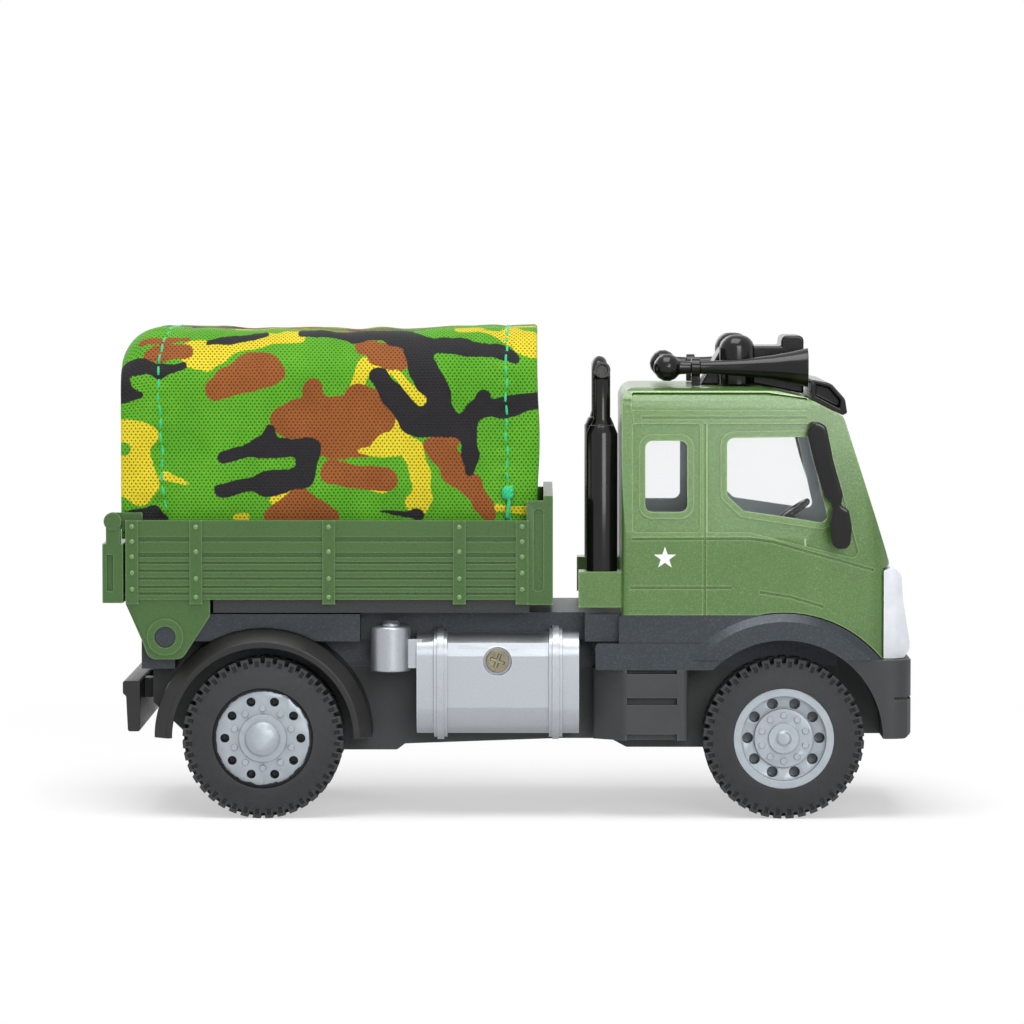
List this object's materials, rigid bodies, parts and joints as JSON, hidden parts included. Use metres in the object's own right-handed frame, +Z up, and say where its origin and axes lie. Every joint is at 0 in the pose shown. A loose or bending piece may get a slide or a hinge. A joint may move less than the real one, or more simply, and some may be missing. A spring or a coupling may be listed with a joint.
{
  "type": "toy military cargo truck",
  "caption": "Toy military cargo truck with a cab-over body, freely rolling lugged wheels, a tipping planked bed, a hinged tailgate and a cloth canopy over wire hoops.",
  "frame": {"origin": "on the floor, under the middle of the truck", "axes": "+X towards the front of the truck, +Y towards its left side, +Z up"},
  "size_m": [0.1454, 0.0612, 0.0879],
  "materials": {
    "cab_paint": "semi-gloss green enamel",
    "bed_plastic": "satin moulded olive plastic",
    "frame_paint": "dark metallic flake paint",
    "base_plastic": "matt moulded dark grey plastic",
    "black_plastic": "glossy moulded black plastic",
    "tank_paint": "satin silver paint",
    "rim_paint": "satin silver-grey paint",
    "tyre": "matt rubber",
    "steel": "drawn steel wire and plated screws",
    "glass": "clear moulded plastic",
    "lens": "clear plastic over silver",
    "cabin_plastic": "matt moulded grey plastic",
    "canopy_cloth": "woven camouflage cloth"
  },
  "bodies": {
    "chassis": {"base_plate": "base_plastic", "frame_deck": "frame_paint", "front_fender": "frame_paint", "front_bumper": "base_plastic", "rear_bumper": "black_plastic", "rear_fender_left": "black_plastic", "rear_fender_right": "black_plastic", "tank_left": "tank_paint", "tank_right": "tank_paint", "tank_screws": "steel", "cab_shell": "cab_paint", "glazing": "glass", "cab_interior": "cabin_plastic", "steering_wheel": "black_plastic", "front_lens": "lens", "sun_visor": "black_plastic", "roof_box": "black_plastic", "beacons": "black_plastic", "horn_left": "black_plastic", "horn_right": "black_plastic", "mirror_left": "black_plastic", "mirror_right": "black_plastic", "stack_left": "black_plastic", "stack_right": "black_plastic"},
    "front_wheels": {"front_axle": "steel", "front_rim_left": "rim_paint", "front_rim_right": "rim_paint", "front_tyre_left": "tyre", "front_tyre_right": "tyre"},
    "rear_wheels": {"rear_axle": "steel", "rear_rim_left": "rim_paint", "rear_rim_right": "rim_paint", "rear_tyre_left": "tyre", "rear_tyre_right": "tyre"},
    "bed": {"bed_tub": "bed_plastic", "canopy_hoops": "steel", "canopy": "canopy_cloth"},
    "tailgate": {"tailgate": "bed_plastic"}
  },
  "joints": [
    {"name": "front_wheels_spin", "type": "hinge", "parent": "chassis", "child": "front_wheels", "pos_m": [0.049, 0, 0.0144], "axis": [0, 1, 0], "continuous": true},
    {"name": "rear_wheels_spin", "type": "hinge", "parent": "chassis", "child": "rear_wheels", "pos_m": [-0.0442, 0, 0.0144], "axis": [0, 1, 0], "continuous": true},
    {"name": "bed_tilt", "type": "hinge", "parent": "chassis", "child": "bed", "pos_m": [-0.06155, 0, 0.0326], "axis": [0, -1, 0], "range_deg": [0, 45]},
    {"name": "tailgate_swing", "type": "hinge", "parent": "bed", "child": "tailgate", "pos_m": [-0.07085, 0, 0.0533], "axis": [0, 1, 0], "range_deg": [0, 90]}
  ]
}
